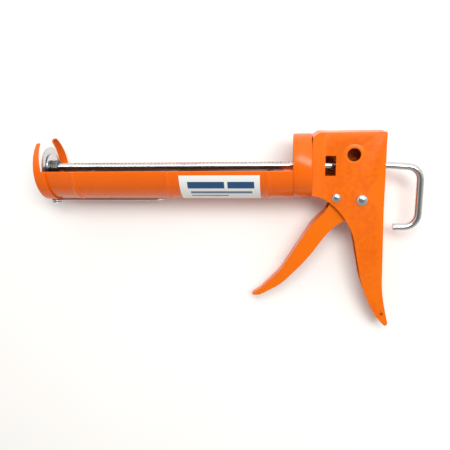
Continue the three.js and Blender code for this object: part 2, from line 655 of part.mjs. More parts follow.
// A bent leaf: a rolled eye on the stop sleeve and a blade that rises to the rod, behind the guide bush.
function holdingSpring() {
  const innerR = STOP_SLEEVE_R + RUNNING;
  const outerR = innerR + LEAF_SHEET;
  const span = [-LEAF_WIDTH / 2, LEAF_WIDTH / 2];
  const tip = new THREE.Vector2(LEAF_TIP_X, -ROD_R - LEAF_ROD_GAP);
  const blade = new THREE.Shape([
    new THREE.Vector2(STOP.x + outerR - LEAF_SHEET, STOP.y),
    new THREE.Vector2(STOP.x + outerR, STOP.y),
    new THREE.Vector2(STOP.x + outerR, STOP.y + LEAF_UPRIGHT),
    new THREE.Vector2(tip.x + LEAF_SHEET, tip.y),
    new THREE.Vector2(tip.x, tip.y),
    new THREE.Vector2(STOP.x + outerR - LEAF_SHEET, STOP.y + LEAF_UPRIGHT),
  ]);
  const eye = cut(barZ(outerR, span, STOP), barZ(innerR, [span[0] - PAST, span[1] + PAST], STOP));
  return join(eye, cut(plate(blade, span), barZ(innerR, [span[0] - PAST, span[1] + PAST], STOP)));
}

const PLUNGER_FRONT_X = CAP_INNER_X - CAP_SHEET + PLUNGER_INSET;
const ROD_TIP_X = PLUNGER_FRONT_X + ROD_HEAD_INSET;

// The hook's centre line: back along the rod, down behind the grip and forward again to the cut end.
function hookPath(startX) {
  const bend = HOOK_BEND_R;
  const bulge = bend * QUARTER_ARC;
  const topY = -HOOK_DIP;
  const lowY = -HOOK_DROP;
  const dipX = BACK_X + FRAME_SHEET;
  const cornerX = HOOK_X - bend;
  const at = (x, y) => new THREE.Vector3(x, y, 0);
  const path = new THREE.CurvePath();
  path.add(new THREE.LineCurve3(at(startX, 0), at(dipX, 0)));
  path.add(new THREE.LineCurve3(at(dipX, 0), at(cornerX, topY)));
  path.add(
    new THREE.CubicBezierCurve3(
      at(cornerX, topY),
      at(cornerX + bulge, topY),
      at(HOOK_X, topY - bend + bulge),
      at(HOOK_X, topY - bend),
    ),
  );
  path.add(new THREE.LineCurve3(at(HOOK_X, topY - bend), at(HOOK_X, lowY + bend)));
  path.add(
    new THREE.CubicBezierCurve3(
      at(HOOK_X, lowY + bend),
      at(HOOK_X, lowY + bend - bulge),
      at(cornerX + bulge, lowY),
      at(cornerX, lowY),
    ),
  );
  path.add(new THREE.LineCurve3(at(cornerX, lowY), at(HOOK_END_X, lowY)));
  return path;
}

// The saw-tooth comb cut into the rod's upper side: upright faces look rearwards.
function toothComb() {
  const shape = new THREE.Shape();
  const startX = ROD_TIP_X + FIRST_TOOTH_FROM_TIP;
  const count = Math.floor((BACK_X - FRAME_SHEET - startX) / TOOTH_PITCH);
  const crestY = ROD_R + CREST_CLEAR;
  shape.moveTo(startX, ROD_R + PAST);
  for (let x = startX, i = 0; i < count; i += 1, x += TOOTH_PITCH) {
    shape.lineTo(x, ROD_R - TOOTH_DEPTH);
    shape.lineTo(x + TOOTH_PITCH * TOOTH_SLOPE, crestY);
    shape.lineTo(x + TOOTH_PITCH, crestY);
  }
  shape.lineTo(startX + count * TOOTH_PITCH, ROD_R + PAST);
  return plate(shape, [-ROD_R - PAST, ROD_R + PAST]);
}

// The rod: a countersunk head at the front, ratchet teeth along the top and the hook at the rear.
function pushRod() {
  const bendX = BACK_X - PAST;
  const straight = barX(ROD_R, [ROD_TIP_X + SEAM, bendX], ROD_SIDES);
  const headEnd = ROD_TIP_X + ROD_HEAD_STEP;
  const headR = ROD_R + ROD_HEAD_STEP;
  const head = turned([[ROD_TIP_X, 0], [ROD_TIP_X, headR], [headEnd, ROD_R], [headEnd, 0]], ROD_SIDES);
  const hook = wire(hookPath(bendX - 1), ROD_R, 32, ROD_SIDES);
  return cut(join(straight, head, hook), toothComb());
}

// The pushing disc, with a countersink for the rod's head.
function plungerPlate() {
  const holeR = ROD_R + RUNNING;
  const sinkX = ROD_TIP_X + ROD_HEAD_STEP;
  const sinkR = holeR + ROD_HEAD_STEP + ROD_HEAD_INSET;
  const backX = PLUNGER_FRONT_X + PLUNGER_SHEET;
  return turned([
    [PLUNGER_FRONT_X, sinkR],
    [PLUNGER_FRONT_X, PLUNGER_R],
    [backX, PLUNGER_R],
    [backX, holeR],
    [sinkX, holeR],
    [PLUNGER_FRONT_X, sinkR],
  ]);
}

const BACKING_X = PLUNGER_FRONT_X + PLUNGER_SHEET + SEAM;
const WASHER_X = BACKING_X + BACKING_SHEET + SEAM;
const NUT_X = WASHER_X + LOCK_WASHER_THICKNESS + SEAM;

function plungerBacking() {
  return ring([BACKING_X, BACKING_X + BACKING_SHEET], ROD_R + RUNNING, BACKING_R);
}

// A split spring washer.
function lockWasher() {
  const x = [WASHER_X, WASHER_X + LOCK_WASHER_THICKNESS];
  const whole = ring(x, ROD_R + RUNNING, LOCK_WASHER_R);
  const slitZ = LOCK_WASHER_SLIT / 2;
  return cut(whole, box([x[0] - PAST, x[1] + PAST], [0, FAR], [-slitZ, slitZ]));
}

function plungerNut() {
  const x = [NUT_X, NUT_X + NUT_THICKNESS];
  const cornerR = NUT_ACROSS_FLATS / Math.sqrt(3);
  return cut(barX(cornerR, x, 6), barX(ROD_R + RUNNING, [x[0] - PAST, x[1] + PAST], ROD_SIDES));
}

// The sticker wrapped round the cradle's left side.
function label() {
  const innerR = CRADLE_R + SEAM;
  const x = [-LABEL_FROM_COLLAR - LABEL_LENGTH, -LABEL_FROM_COLLAR];
  const whole = ring(x, innerR, innerR + LABEL_PAPER, BARREL_SIDES);
  const edge = (angle, reach) => [reach * Math.cos(angle), -reach * Math.sin(angle)];
  const bottom = LABEL_TOP + LABEL_WRAP;
  const [z0, y0] = edge(LABEL_TOP, 2 * CRADLE_R);
  const [z1, y1] = edge((LABEL_TOP + bottom) / 2, 3 * CRADLE_R);
  const [z2, y2] = edge(bottom, 2 * CRADLE_R);
  const wedge = new THREE.Shape([
    new THREE.Vector2(0, 0),
    new THREE.Vector2(-z0, y0),
    new THREE.Vector2(-z1, y1),
    new THREE.Vector2(-z2, y2),
  ]);
  const tool = new THREE.ExtrudeGeometry(wedge, { depth: LABEL_LENGTH + 2 * PAST, bevelEnabled: false });
  tool.rotateY(Math.PI / 2).translate(x[0] - PAST, 0, 0);
  return common(whole, tool);
}

// The wire that punches the cartridge's inner seal: an eye round its rivet and a straight, pointed reach.
function sealPunch() {
  const at = (x, z) => new THREE.Vector3(x, -PUNCH_AXIS_R, z);
  const eye = Array.from({ length: 2 * COIL_STEPS }, (_, i) => {
    const angle = THREE.MathUtils.degToRad(-90 - PUNCH_EYE_TURN * (1 - i / (2 * COIL_STEPS - 1)));
    return at(PUNCH_X + PUNCH_EYE_R * Math.cos(angle), PUNCH_EYE_R * Math.sin(angle));
  });
  const endX = PUNCH_X + PUNCH_REACH - PUNCH_POINT;
  const path = new THREE.CurvePath();
  path.add(new THREE.CatmullRomCurve3(eye));
  path.add(new THREE.LineCurve3(eye.at(-1), at(endX, -PUNCH_EYE_R)));
  const pointR = PUNCH_WIRE_R - PUNCH_POINT_STEP;
  const point = turned(
    [
      [endX - PAST, 0],
      [endX - PAST, pointR],
      [endX, pointR],
      [endX + PUNCH_POINT, PUNCH_POINT_R],
      [endX + PUNCH_POINT, 0],
    ],
    2 * WIRE_SIDES,
  );
  point.translate(0, -PUNCH_AXIS_R, -PUNCH_EYE_R);
  return join(wire(path, PUNCH_WIRE_R, 4 * COIL_STEPS, 2 * WIRE_SIDES), point).rotateX(-PUNCH_TURN);
}

// The rivet that the punch turns on, set through the front cap's skirt.
function punchRivet() {
  const headR = PUNCH_AXIS_R + PUNCH_WIRE_R + SHIM;
  const innerY = -CRADLE_R - SEAM / 2;
  const profile = [
    [0, -headR - PUNCH_HEAD_HEIGHT],
    [PUNCH_HEAD_R * PUNCH_HEAD_FLAT, -headR - PUNCH_HEAD_HEIGHT],
    [PUNCH_HEAD_R, -headR - PUNCH_HEAD_HEIGHT * PUNCH_HEAD_RIM],
    [PUNCH_HEAD_R, -headR],
    [PUNCH_RIVET_R, -headR],
    [PUNCH_RIVET_R, innerY],
    [0, innerY],
  ].map(([r, y]) => new THREE.Vector2(r, y));
  return new THREE.LatheGeometry(profile, ROUND_SIDES).translate(PUNCH_X, 0, 0).rotateX(-PUNCH_TURN);
}

const orangePaint = () => new THREE.MeshStandardMaterial({ color: 0xf2560f, roughness: 0.28, metalness: 0 });
const zincPlate = () => new THREE.MeshStandardMaterial({ color: 0xc9ccd0, roughness: 0.3, metalness: 1 });
const darkSteel = () => new THREE.MeshStandardMaterial({ color: 0x4a4d50, roughness: 0.45, metalness: 1 });
const springSteel = () => new THREE.MeshStandardMaterial({ color: 0x8b8f94, roughness: 0.35, metalness: 1 });
const stickerPaper = () => new THREE.MeshStandardMaterial({ color: 0xf3f3f0, roughness: 0.5, metalness: 0 });

// How far the gun rolls about its barrel before the grip's tip meets the bench.
function restTilt() {
  return Math.asin(CAP_R / Math.hypot(GRIP_DROP, PLATE_OUTER_Z)) - Math.atan2(PLATE_OUTER_Z, GRIP_DROP);
}

const pieces = [
  ["cradle", cradle(), orangePaint()],
  ["front_cap", frontCap(), orangePaint()],
  ["rear_cap", rearCap(), orangePaint()],
  ["rod_guide_bush", rodGuideBush(), zincPlate()],
  ["handle_frame", handleFrame(), orangePaint()],
  ["pivot_rivet", rivet(PIVOT, PIVOT_SHANK_R, PIVOT_HEAD_R), zincPlate()],
  ["stop_rivet", rivet(STOP, STOP_SHANK_R, STOP_HEAD_R), zincPlate()],
  ["pivot_sleeve", sleeve(PIVOT, PIVOT_SHANK_R, PIVOT_SLEEVE_R), darkSteel()],
  ["stop_sleeve", sleeve(STOP, STOP_SHANK_R, STOP_SLEEVE_R), darkSteel()],
  ["holding_spring", holdingSpring(), springSteel()],
  ["trigger", trigger(), orangePaint()],
  ["return_spring", returnSpring(), springSteel()],
  ["drive_pawl", drivePawl(), darkSteel()],
  ["pawl_pin", pawlPin(), zincPlate()],
  ["pawl_spring", pawlSpring(), springSteel()],
  ["push_rod", pushRod(), zincPlate()],
  ["plunger_plate", plungerPlate(), zincPlate()],
  ["plunger_backing", plungerBacking(), zincPlate()],
  ["lock_washer", lockWasher(), darkSteel()],
  ["plunger_nut", plungerNut(), darkSteel()],
  ["label", label(), stickerPaper()],
  ["seal_punch", sealPunch(), zincPlate()],
  ["punch_rivet", punchRivet(), zincPlate()],
];

const gun = new THREE.Group();
for (const [name, geometry, material] of pieces) {
  const mesh = new THREE.Mesh(geometry, material);
  mesh.name = name;
  gun.add(mesh);
}
gun.rotation.x = restTilt();

const onBench = new THREE.Group();
onBench.add(gun);
const extent = new THREE.Box3().setFromObject(gun, true);
const middle = extent.getCenter(new THREE.Vector3());
gun.position.set(-middle.x, -middle.y, -extent.min.z);

export default onBench;
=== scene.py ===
"""Looks for a ratchet-rod caulking gun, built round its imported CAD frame.

The gun lies on its right side on a white bench. Each piece is drawn in millimetres in the gun's own frame,
where X runs along the barrel from muzzle to hook, Y is up in the hand and Z points out of the left side,
and is then laid down where the CAD pieces lie.
"""

import json
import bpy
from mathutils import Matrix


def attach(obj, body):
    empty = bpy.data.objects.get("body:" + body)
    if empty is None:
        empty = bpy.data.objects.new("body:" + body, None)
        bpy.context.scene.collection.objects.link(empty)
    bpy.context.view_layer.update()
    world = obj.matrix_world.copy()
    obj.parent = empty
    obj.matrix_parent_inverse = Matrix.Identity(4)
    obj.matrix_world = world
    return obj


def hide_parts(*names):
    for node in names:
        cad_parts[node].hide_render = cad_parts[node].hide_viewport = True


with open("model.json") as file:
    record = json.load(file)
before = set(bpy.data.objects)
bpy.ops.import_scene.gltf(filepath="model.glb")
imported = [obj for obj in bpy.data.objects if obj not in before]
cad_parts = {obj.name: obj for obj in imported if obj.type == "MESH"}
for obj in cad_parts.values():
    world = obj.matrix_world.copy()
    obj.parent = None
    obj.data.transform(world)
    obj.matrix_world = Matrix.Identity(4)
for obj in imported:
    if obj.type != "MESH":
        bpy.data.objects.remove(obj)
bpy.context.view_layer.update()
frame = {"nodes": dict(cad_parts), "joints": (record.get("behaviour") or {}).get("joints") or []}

from math import atan2, cos, pi, radians, sin

import bmesh
import bpy
from mathutils import Matrix, Vector

# ---------------------------------------------------------------------------------------------------------
# Camera: it looks almost straight down on the gun's left side, from a little above the barrel.
# It comes first, and nothing else depends on it.
CAMERA_AT = (0.05027, 0.05991, 0.45425)
CAMERA_TURN = (radians(-7.509), radians(7.042), radians(-0.442))
CAMERA_VIEW = radians(47.32)
CAMERA_NEAR = 0.01

camera_data = bpy.data.cameras.new("camera")
camera_data.sensor_fit = "HORIZONTAL"
camera_data.angle = CAMERA_VIEW
camera_data.clip_start = CAMERA_NEAR
camera = bpy.data.objects.new("camera", camera_data)
camera.location = CAMERA_AT
camera.rotation_euler = CAMERA_TURN
bpy.context.scene.collection.objects.link(camera)
bpy.context.scene.camera = camera

# ---------------------------------------------------------------------------------------------------------
# Studio: a white bench in a soft light tent, with one long soft light above the barrel, on its open side.
# The tent is bright at mid height and dim overhead and at the horizon. This gives plated steel its edges.
BENCH_HALF = 1.6
BENCH_WHITE = (0.93, 0.925, 0.915)
BENCH_SHADES = ((0.925, 0.92, 0.91), (0.94, 0.935, 0.93))
KEY_AT = (0.22, 0.36, 0.95)
KEY_AIM = (0.02, 0.02, 0.02)
KEY_SIZE = (0.9, 0.34)
KEY_POWER = 9.4
KEY_COLOUR = (1.0, 0.975, 0.94)
# The tent's brightness by height, from straight down at 0 to straight up at 1.
TENT = [(0.0, 0.55), (0.5, 0.42), (0.56, 0.85), (0.7, 1.05), (0.86, 0.8), (0.95, 0.3), (1.0, 0.26)]
TENT_TINT = (1.0, 0.99, 0.97)
# The tent is brighter on the barrel's open side than below it: (place from -Y to +Y, strength).
TENT_SIDES = [(0.0, 0.4), (0.42, 0.62), (0.6, 1.05), (1.0, 1.25)]
# Most of a noise texture lies between these two values.
NOISE_LOW = 0.3
NOISE_HIGH = 0.7

key_data = bpy.data.lights.new("key_light", "AREA")
key_data.shape = "RECTANGLE"
key_data.size, key_data.size_y = KEY_SIZE
key_data.energy = KEY_POWER
key_data.color = KEY_COLOUR
key_light = bpy.data.objects.new("key_light", key_data)
key_light.location = KEY_AT
key_light.rotation_euler = (Vector(KEY_AIM) - Vector(KEY_AT)).to_track_quat("-Z", "Y").to_euler()
bpy.context.scene.collection.objects.link(key_light)


def new_material(name, colour, roughness, metallic=0.0):
    """A node material with its even values set on the shader. Returns it, its nodes, links and shader."""
    material = bpy.data.materials.new(name)
    material.use_nodes = True
    material.diffuse_color = (*colour, 1)
    nodes, links = material.node_tree.nodes, material.node_tree.links
    shader = nodes["Principled BSDF"]
    shader.inputs["Base Color"].default_value = (*colour, 1)
    shader.inputs["Roughness"].default_value = roughness
    shader.inputs["Metallic"].default_value = metallic
    return material, nodes, links, shader


def noise(nodes, links, scale, detail=3.0, stretch=(1, 1, 1)):
    """A noise texture on Object coordinates, stretched along the axes of the row frame."""
    coordinates = nodes.new("ShaderNodeTexCoord")
    mapping = nodes.new("ShaderNodeMapping")
    mapping.inputs["Scale"].default_value = stretch
    texture = nodes.new("ShaderNodeTexNoise")
    texture.inputs["Scale"].default_value = scale
    texture.inputs["Detail"].default_value = detail
    links.new(coordinates.outputs["Object"], mapping.inputs["Vector"])
    links.new(mapping.outputs["Vector"], texture.inputs["Vector"])
    return texture.outputs["Fac"]


def ramp(nodes, links, factor, stops):
    """A colour ramp of (place, colour) stops over a factor."""
    node = nodes.new("ShaderNodeValToRGB")
    elements = node.color_ramp.elements
    for element, (place, colour) in zip(elements, (stops[0], stops[-1])):
        element.position = place
        element.color = (*colour, 1)
    for place, colour in stops[1:-1]:
        elements.new(place).color = (*colour, 1)
    links.new(factor, node.inputs["Fac"])
    return node.outputs["Color"]


def span(nodes, links, factor, low, high, start=NOISE_LOW, stop=NOISE_HIGH):
    """Stretches a factor that runs from start to stop over the numbers from low to high."""
    node = nodes.new("ShaderNodeMapRange")
    node.inputs["From Min"].default_value = start
    node.inputs["From Max"].default_value = stop
    node.inputs["To Min"].default_value = low
    node.inputs["To Max"].default_value = high
    links.new(factor, node.inputs["Value"])
    return node.outputs["Result"]


def bump(nodes, links, shader, height, strength, distance):
    """Raises a material's surface by a height, without changing its shape."""
    node = nodes.new("ShaderNodeBump")
    node.inputs["Strength"].default_value = strength
    node.inputs["Distance"].default_value = distance
    links.new(height, node.inputs["Height"])
    links.new(node.outputs["Normal"], shader.inputs["Normal"])


world = bpy.data.worlds.new("tent")
world.use_nodes = True
nodes, links = world.node_tree.nodes, world.node_tree.links
sky = nodes["Background"]
direction = nodes.new("ShaderNodeTexCoord")
split = nodes.new("ShaderNodeSeparateXYZ")
links.new(direction.outputs["Generated"], split.inputs["Vector"])
height = span(nodes, links, split.outputs["Z"], 0, 1, start=-1, stop=1)
tent = ramp(nodes, links, height, [(at, tuple(c * bright for c in TENT_TINT)) for at, bright in TENT])
links.new(tent, sky.inputs["Color"])
sideways = span(nodes, links, split.outputs["Y"], 0, 1, start=-1, stop=1)
sides = ramp(nodes, links, sideways, [(at, (bright,) * 3) for at, bright in TENT_SIDES])
links.new(sides, sky.inputs["Strength"])
bpy.context.scene.world = world
bpy.context.scene.view_settings.view_transform = "Standard"

bench_white, nodes, links, shader = new_material("bench_white", BENCH_WHITE, roughness=0.75)
shades = ramp(nodes, links, noise(nodes, links, scale=5), list(zip((NOISE_LOW, NOISE_HIGH), BENCH_SHADES)))
links.new(shades, shader.inputs["Base Color"])
bm = bmesh.new()
bmesh.ops.create_grid(bm, x_segments=1, y_segments=1, size=BENCH_HALF)
bench_mesh = bpy.data.meshes.new("bench")
bm.to_mesh(bench_mesh)
bm.free()
bench = bpy.data.objects.new("bench", bench_mesh)
bench_mesh.materials.append(bench_white)
bpy.context.scene.collection.objects.link(bench)

# ---------------------------------------------------------------------------------------------------------
# Cradle: a half-round trough of 1 mm sheet with three rolled beads. It is painted orange outside
# and dark brown inside, as painted shade for the trough's deep shade. It is spot-welded into the front cap
# and over the rear cap's spigot.
MM = 0.001
joints = {joint["name"]: joint for joint in frame["joints"]}
across = Vector(joints["trigger_pull"]["axis"]).normalized()
along = Vector((1, 0, 0))
PLACE = (
    Matrix.Translation(joints["rod_turn"]["pos_m"])
    @ Matrix((along, across.cross(along), across)).transposed().to_4x4()
    @ Matrix.Scale(MM, 4)
)
BORE_R = 25.5
CRADLE_R = 26.5
CRADLE_LENGTH = 208.9
CRADLE_EDGE_Y = -0.4
CRADLE_RIM_R = 0.25
BEAD_CENTRES = (-178.9, -100.4, -19.5)
BEAD_HALF_WIDTH = 2.6
BEAD_HEIGHT = 0.9
BEAD_STEPS = 6
# The gap left between two pieces that touch.
SEAM = 0.15
# Drawn vertices closer than this are one.
WELD = 1e-4
# A face with more corners than this is a flat plate. Its edges stay sharp from PLATE_TURN degrees on.
PLATE_CORNERS = 9
PLATE_TURN = 8
# The orange enamels share all but their green.
ENAMEL_RED = 0.8
ENAMEL_BLUE = 0.002
BARREL_GREEN = 0.126
# Its mottle: (value of the noise, red, share of the green, blue).
MOTTLE = [(NOISE_LOW, 0.79, 0.97, 0.0015), (0.52, ENAMEL_RED, 1, ENAMEL_BLUE), (0.75, 0.81, 1.03, 0.002)]
# The paint thins between these two values of pointiness, by up to WEAR.
EDGE_START = 0.56
EDGE_STOP = 0.72
WEAR = 0.5
WORN_ENAMEL = (0.62, 0.075, 0.006)
# Painted shade for the cradle's inside: two dark browns that stand in for the shade deep in the trough.
INSIDE_PAINTED_SHADE = ((0.07, 0.021, 0.006), (0.11, 0.03, 0.008))


def spin(bm, points, turn=2 * pi, steps=96, start=0.0, closed=False):
    """Turns (x, radius) points round the barrel axis, from an angle measured from Y towards Z."""
    verts = [bm.verts.new((x, radius, 0)) for x, radius in points]
    pairs = list(zip(verts, verts[1:]))
    if closed:
        pairs.append((verts[-1], verts[0]))
    profile = verts + [bm.edges.new(pair) for pair in pairs]
    bmesh.ops.rotate(bm, verts=verts, matrix=Matrix.Rotation(start, 3, "X"))
    whole = turn >= 2 * pi
    bmesh.ops.spin(bm, geom=profile, axis=(1, 0, 0), angle=turn, steps=steps, use_merge=whole)
    bmesh.ops.remove_doubles(bm, verts=bm.verts, dist=WELD)
    bmesh.ops.recalc_face_normals(bm, faces=bm.faces)


def spin_below(bm, points, radius, steps=72):
    """Turns (x, radius) points under the barrel, from one open edge of the cradle to the other."""
    edge_turn = atan2(radius, CRADLE_EDGE_Y)
    spin(bm, points, 2 * (pi - edge_turn), steps, edge_turn)


def thicken(bm, sheet):
    """Gives a drawn surface its sheet's thickness, inwards."""
    bmesh.ops.solidify(bm, geom=bm.faces, thickness=sheet)
    bmesh.ops.recalc_face_normals(bm, faces=bm.faces)


def sharp_edges(bm, angle=60):
    """The edges whose two faces turn by more than an angle in degrees."""
    limit = radians(angle)
    return [e for e in bm.edges if len(e.link_faces) == 2 and e.calc_face_angle(0) > limit]


def round_edges(bm, edges, width, segments=2):
    """Rounds edges off over a width on each of their two faces."""
    bmesh.ops.bevel(
        bm,
        geom=edges,
        offset=width,
        offset_type="OFFSET",
        affect="EDGES",
        segments=segments,
        profile=0.5,
        material=-1,
        clamp_overlap=True,
    )


def finished(bm, name, material, body, node, smooth=40):
    """Lays the drawn piece in the row frame and gives it to its body. Flat plates keep flat shading."""
    bmesh.ops.transform(bm, matrix=PLACE, verts=bm.verts)
    for face in bm.faces:
        face.smooth = True
    plates = {face for face in bm.faces if len(face.verts) > PLATE_CORNERS}
    for edge in bm.edges:
        turn = edge.calc_face_angle(0)
        beside = turn > radians(PLATE_TURN) and any(face in plates for face in edge.link_faces)
        edge.smooth = turn < radians(smooth) and not beside
    mesh = bpy.data.meshes.new(name)
    bm.to_mesh(mesh)
    bm.free()
    mesh.materials.append(material)
    piece = bpy.data.objects.new(name, mesh)
    bpy.context.scene.collection.objects.link(piece)
    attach(piece, body)
    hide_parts(node)


def maths(nodes, links, operation, *values):
    """A maths node over two values, each a number or another node's output."""
    node = nodes.new("ShaderNodeMath")
    node.operation = operation
    for socket, value in zip(node.inputs, values):
        if isinstance(value, (int, float)):
            socket.default_value = value
        else:
            links.new(value, socket)
    return node.outputs["Value"]


def mixed(nodes, links, factor, under, over):
    """One colour over another by a factor. The upper one may be an even colour or a node's output."""
    node = nodes.new("ShaderNodeMix")
    node.data_type = "RGBA"
    links.new(factor, node.inputs["Factor"])
    links.new(under, node.inputs["A"])
    if isinstance(over, tuple):
        node.inputs["B"].default_value = (*over, 1)
    else:
        links.new(over, node.inputs["B"])
    return node.outputs["Result"]


def orange_enamel(name, green):
    """Gloss orange enamel over sheet: a slight ripple, a fine mottle, and paint thinned at the edges."""
    even = (ENAMEL_RED, green, ENAMEL_BLUE)
    material, nodes, links, shader = new_material(name, even, roughness=0.3)
    shader.inputs["Specular IOR Level"].default_value = 0.3
    shades = [(place, (red, green * share, blue)) for place, red, share, blue in MOTTLE]
    mottle = ramp(nodes, links, noise(nodes, links, scale=55, detail=5), shades)
    pointed = nodes.new("ShaderNodeNewGeometry").outputs["Pointiness"]
    edge = span(nodes, links, pointed, 0, 1, start=EDGE_START, stop=EDGE_STOP)
    patch = span(nodes, links, noise(nodes, links, scale=260, detail=4), 0, WEAR)
    worn = maths(nodes, links, "MULTIPLY", edge, patch)
    links.new(mixed(nodes, links, worn, mottle, WORN_ENAMEL), shader.inputs["Base Color"])
    gloss = span(nodes, links, noise(nodes, links, scale=32, detail=6), low=0.2, high=0.36)
    links.new(gloss, shader.inputs["Roughness"])
    ripple = noise(nodes, links, scale=420, detail=2)
    bump(nodes, links, shader, ripple, strength=0.08, distance=0.0003)
    return material


barrel_orange = orange_enamel("barrel_orange", BARREL_GREEN)

# Inside the bore the cradle is dark brown: painted shade, standing in for the shade deep in the trough.
cradle_enamel_with_painted_shade = orange_enamel("cradle_enamel_with_painted_shade", BARREL_GREEN)
nodes, links = cradle_enamel_with_painted_shade.node_tree.nodes, cradle_enamel_with_painted_shade.node_tree.links
base = nodes["Principled BSDF"].inputs["Base Color"]
painted_shade = ramp(
    nodes, links, noise(nodes, links, scale=90, detail=5), list(zip((NOISE_LOW, NOISE_HIGH), INSIDE_PAINTED_SHADE))
)
attribute = nodes.new("ShaderNodeAttribute")
attribute.attribute_name = "inside"
links.new(mixed(nodes, links, attribute.outputs["Fac"], base.links[0].from_socket, painted_shade), base)

profile = [(-CRADLE_LENGTH, CRADLE_R)]
for centre in BEAD_CENTRES:
    for step in range(-BEAD_STEPS, BEAD_STEPS + 1):
        share = step / BEAD_STEPS
        lift = BEAD_HEIGHT * cos(share * pi / 2) ** 2
        profile.append((centre + share * BEAD_HALF_WIDTH, CRADLE_R + lift))
profile.append((-SEAM, CRADLE_R))
bm = bmesh.new()
spin_below(bm, profile, CRADLE_R)
thicken(bm, CRADLE_R - BORE_R)
round_edges(bm, sharp_edges(bm), CRADLE_RIM_R)
# A vertex is inside where its normal points at the barrel's axis rather than away from it.
# The painted shade goes on these inside vertices.
inside = bm.verts.layers.float.new("inside")
for vert in bm.verts:
    outwards = vert.normal.y * vert.co.y + vert.normal.z * vert.co.z
    vert[inside] = float(outwards < -0.5 * CRADLE_R)
finished(bm, "cradle_shell", cradle_enamel_with_painted_shade, "frame", "cradle")

# ---------------------------------------------------------------------------------------------------------
# Front cap: a stamped ring with a rolled corner and a skirt that holds the cradle's front end.
# Its two arms reach up on either side of the notch that the cartridge's nozzle drops into.
CAP_SHEET = 1.1
CAP_R = 27.75
CAP_FRONT_X = -211.45
CAP_OPENING_R = 19.5
CAP_CORNER_R = 2.4
CAP_CORNER_STEPS = 8
CAP_SKIRT = 10.5
CAP_ARM_OPENING_R = 24
CAP_ARM_BASE = 7
CAP_ARM_TIP = 3.6
CAP_ARM_STEPS = 24
NOTCH_HALF = radians(35)
NOTCH_TURN = radians(2)
# The break on the cut rims of the pressed pieces.
RIM_R = 0.3
# A drawn point that is this near a line or a face is on it.
NEAR = 0.1

corner_x = CAP_FRONT_X + CAP_CORNER_R
quarter = [pi / 2 * step / CAP_CORNER_STEPS for step in range(CAP_CORNER_STEPS + 1)]
corner = [(corner_x - CAP_CORNER_R * cos(a), CAP_R - CAP_CORNER_R + CAP_CORNER_R * sin(a)) for a in quarter]
arm = [(CAP_FRONT_X, CAP_ARM_OPENING_R), *corner, (CAP_FRONT_X + CAP_ARM_BASE, CAP_R)]
ring = [(CAP_FRONT_X, CAP_OPENING_R), *arm, (CAP_FRONT_X + CAP_SKIRT, CAP_R)]
skirt_turn = atan2(CAP_R, CRADLE_EDGE_Y)
left_arm = NOTCH_TURN + NOTCH_HALF
right_arm = 2 * pi + NOTCH_TURN - NOTCH_HALF
bm = bmesh.new()
spin(bm, arm, skirt_turn - left_arm, CAP_ARM_STEPS, left_arm)
spin(bm, arm, right_arm - (2 * pi - skirt_turn), CAP_ARM_STEPS, 2 * pi - skirt_turn)
# The arms' skirts are trimmed on a slant, from CAP_ARM_BASE at the cradle to CAP_ARM_TIP at the top.
skirt_end_x = CAP_FRONT_X + CAP_ARM_BASE - NEAR
for vert in bm.verts:
    if vert.co.x > skirt_end_x:
        rise = (vert.co.y - CRADLE_EDGE_Y) / (CAP_R - CRADLE_EDGE_Y)
        vert.co.x += (CAP_ARM_TIP - CAP_ARM_BASE) * rise
spin_below(bm, ring, CAP_R)
thicken(bm, CAP_SHEET)
round_edges(bm, sharp_edges(bm), RIM_R)
finished(bm, "front_cap_ring", barrel_orange, "frame", "front_cap")

# ---------------------------------------------------------------------------------------------------------
# Rear cap: a drawn collar with a back wall and a spigot that slips into the cradle's end.
# The cartridge's rear rim seats against the back wall.
COLLAR_R = 25.9
COLLAR_LENGTH = 14.8
COLLAR_SHEET = 1.2
COLLAR_ROUND = 1.1
COLLAR_BEVEL = COLLAR_ROUND * 0.3
SPIGOT_LENGTH = 8
SPIGOT_R = BORE_R - SEAM
SPIGOT_STEPS = 60
BUSH_HOLE_R = 5.25


def add(bm, other):
    """Adds another drawn shape to a piece, as a second shell."""
    mesh = bpy.data.meshes.new("added")
    other.to_mesh(mesh)
    other.free()
    bm.from_mesh(mesh)
    bpy.data.meshes.remove(mesh)


wall_x = COLLAR_LENGTH - COLLAR_SHEET
inner_r = COLLAR_R - COLLAR_SHEET
profile = [
    (0, SPIGOT_R - COLLAR_SHEET),
    (0, COLLAR_R),
    (COLLAR_LENGTH - COLLAR_ROUND, COLLAR_R),
    (COLLAR_LENGTH - COLLAR_BEVEL, COLLAR_R - COLLAR_BEVEL),
    (COLLAR_LENGTH, COLLAR_R - COLLAR_ROUND),
    (COLLAR_LENGTH, BUSH_HOLE_R),
    (wall_x, BUSH_HOLE_R),
    (wall_x, inner_r),
    (COLLAR_SHEET, inner_r),
    (COLLAR_SHEET, SPIGOT_R - COLLAR_SHEET),
]
bm = bmesh.new()
spin(bm, profile, closed=True)
round_edges(bm, sharp_edges(bm), RIM_R)
spigot = bmesh.new()
spin_below(spigot, [(0, SPIGOT_R), (-SPIGOT_LENGTH, SPIGOT_R)], SPIGOT_R, SPIGOT_STEPS)
thicken(spigot, COLLAR_SHEET)
add(bm, spigot)
finished(bm, "rear_cap_collar", barrel_orange, "frame", "rear_cap")

# ---------------------------------------------------------------------------------------------------------
# Handle frame: one folded sheet that makes the housing and the grip, open along the grip's front.
# Its folds are rounded, its cut rims are slightly broken, and the cutter hole has a pressed lip.
HANDLE_GREEN = 0.152
PLATE_Z = 11
FOLD_R = 1.5
FOLD_TURN = 50
FOLD_STEPS = 4
